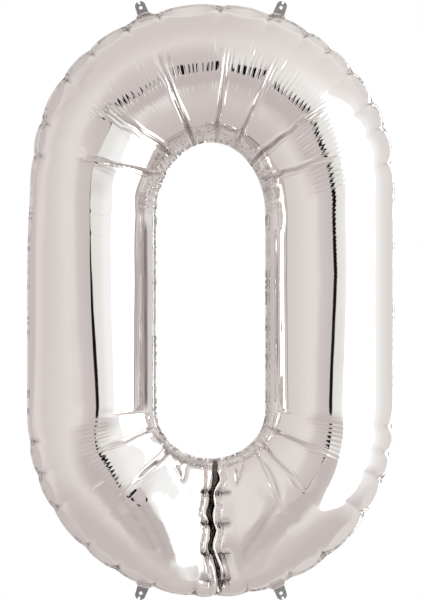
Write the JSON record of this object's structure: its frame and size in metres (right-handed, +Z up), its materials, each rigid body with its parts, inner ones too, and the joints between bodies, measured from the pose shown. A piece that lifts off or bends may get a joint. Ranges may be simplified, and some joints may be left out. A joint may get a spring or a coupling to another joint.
{
  "type": "foil number balloon",
  "caption": "Inflated foil number balloon in the shape of a zero, a ring tube closed by one foot seam, with four folding hanging tabs and an inner flat film valve.",
  "frame": {"origin": "centre of the bounding box, which is the middle of the digit on its hem plane", "axes": "+Z up along the height of the digit, +X to the right as its face is read, -Y out of its face towards the reader"},
  "size_m": [0.535, 0.178, 0.8718],
  "materials": {
    "foil": "mirror bright silver foil, faintly warm",
    "hem": "silver foil, crimped by the heat seal",
    "tab": "flat silver foil",
    "valve": "clear polyethylene film"
  },
  "bodies": {
    "envelope": {"front_panel": "foil", "back_panel": "foil", "outer_hem": "hem", "hole_hem": "hem", "foot_seam": "hem"},
    "tab_top_left": {"tab_top_left": "tab"},
    "tab_top_right": {"tab_top_right": "tab"},
    "tab_foot_left": {"tab_foot_left": "tab"},
    "tab_foot_right": {"tab_foot_right": "tab"},
    "valve_sleeve": {"valve_back_film": "valve"},
    "valve_lip": {"valve_front_film": "valve"}
  },
  "joints": [
    {"name": "tab_top_left_fold", "type": "hinge", "parent": "envelope", "child": "tab_top_left", "pos_m": [-0.09957, 0, 0.41952], "axis": [0.9359, 0, 0.3523], "range_deg": [-110, 110], "stiffness_Nm_per_rad": 0.0002},
    {"name": "tab_top_right_fold", "type": "hinge", "parent": "envelope", "child": "tab_top_right", "pos_m": [0.09957, 0, 0.41952], "axis": [0.9359, 0, -0.3523], "range_deg": [-110, 110], "stiffness_Nm_per_rad": 0.0002},
    {"name": "tab_foot_left_fold", "type": "hinge", "parent": "envelope", "child": "tab_foot_left", "pos_m": [-0.09957, 0, -0.41952], "axis": [-0.9359, 0, 0.3523], "range_deg": [-110, 110], "stiffness_Nm_per_rad": 0.0002},
    {"name": "tab_foot_right_fold", "type": "hinge", "parent": "envelope", "child": "tab_foot_right", "pos_m": [0.09957, 0, -0.41952], "axis": [-0.9359, 0, -0.3523], "range_deg": [-110, 110], "stiffness_Nm_per_rad": 0.0002},
    {"name": "valve_swing", "type": "hinge", "parent": "envelope", "child": "valve_sleeve", "pos_m": [-0.04763, 0, -0.42001], "axis": [0.9816, 0, -0.1908], "range_deg": [-30, 30], "stiffness_Nm_per_rad": 0.001},
    {"name": "valve_lip", "type": "hinge", "parent": "valve_sleeve", "child": "valve_lip", "pos_m": [-0.0474, 0, -0.41884], "axis": [0.9816, 0, -0.1908], "range_deg": [0, 6], "stiffness_Nm_per_rad": 0.0005}
  ]
}
